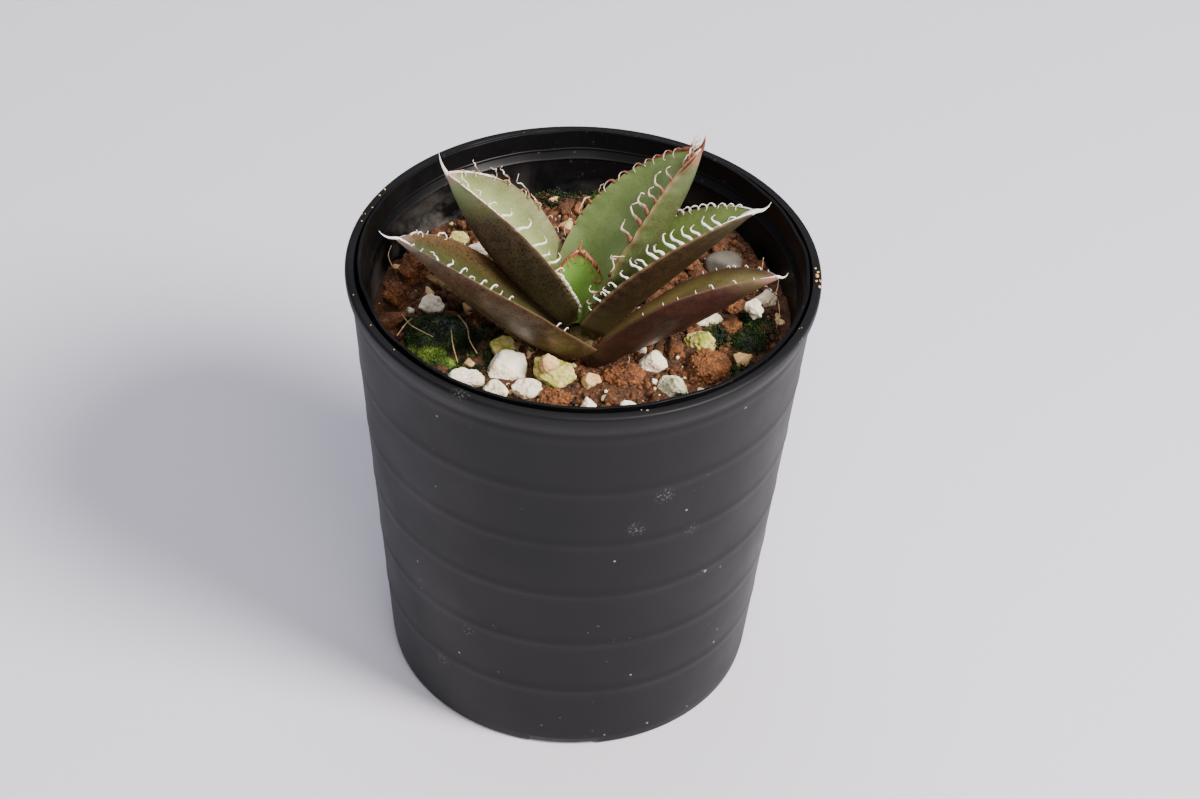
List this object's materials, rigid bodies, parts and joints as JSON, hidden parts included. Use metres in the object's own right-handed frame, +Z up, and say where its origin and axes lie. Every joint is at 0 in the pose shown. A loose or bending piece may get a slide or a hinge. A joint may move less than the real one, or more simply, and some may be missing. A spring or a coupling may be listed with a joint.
{
  "type": "potted agave",
  "caption": "Small toothed agave in granular soil with moss, grown in a thin nursery pot that stands inside a round ringed black plastic cover pot; stands on any flat surface.",
  "frame": {"origin": "centre of the cover pot's foot ring, at the level of the surface it stands on", "axes": "+Z up along the pot's axis; -Y is the side the leaf rosette leans to, +X is to the right seen from there; right-handed"},
  "size_m": [0.09, 0.09, 0.1192],
  "materials": {
    "cover_plastic": "matte moulded polypropylene, faintly sheened, dusty and lightly scuffed",
    "nursery_plastic": "thin glossy black plastic, streaked with mineral deposits inside",
    "stem": "pale fibrous stem with old leaf bases",
    "young_leaf": "fresh green waxy leaf skin",
    "leaf": "waxy grey-green leaf skin, brown and speckled underneath, with ivory teeth",
    "dry_leaf": "dry fibrous leaf rest",
    "pumice": "white porous pumice",
    "mossy_stone": "stone grown over with yellow-green algae and moss",
    "kanuma": "soft tan pumice soil granule",
    "lichened_stone": "greenish white lichened stone",
    "akadama": "brown baked clay granule",
    "fibre_clod": "clod of brown peat and root fibre",
    "pebble": "smooth grey pebble",
    "moss": "dark green moss cushion",
    "soil": "matte mixed granular potting soil, dark and damp"
  },
  "bodies": {
    "root": {"cover_pot": "cover_plastic", "nursery_pot": "nursery_plastic", "stem": "stem", "leaf_centre": "young_leaf", "leaf_back_right": "leaf", "leaf_back_left": "leaf", "leaf_right": "leaf", "leaf_front_right": "leaf", "leaf_front_left": "leaf", "dead_leaf": "dry_leaf", "pumice_big": "pumice", "pumice_front_1": "pumice", "pumice_front_2": "pumice", "pumice_front_3": "pumice", "pumice_left": "pumice", "pumice_right": "pumice", "pumice_far_right": "pumice", "pumice_grey": "pumice", "pumice_back": "pumice", "mossy_stone_left": "mossy_stone", "mossy_stone_front": "mossy_stone", "mossy_stone_right": "mossy_stone", "mossy_stone_back": "mossy_stone", "kanuma_front": "kanuma", "kanuma_left": "kanuma", "kanuma_right": "kanuma", "kanuma_far_right": "kanuma", "lichened_stone": "lichened_stone", "akadama_right": "akadama", "akadama_front": "akadama", "akadama_left": "akadama", "akadama_far_left": "akadama", "akadama_far_right": "akadama", "fibre_clod": "fibre_clod", "grey_pebble": "pebble", "moss_left": "moss", "moss_right": "moss", "moss_far_right": "moss", "soil": "soil"}
  },
  "joints": []
}
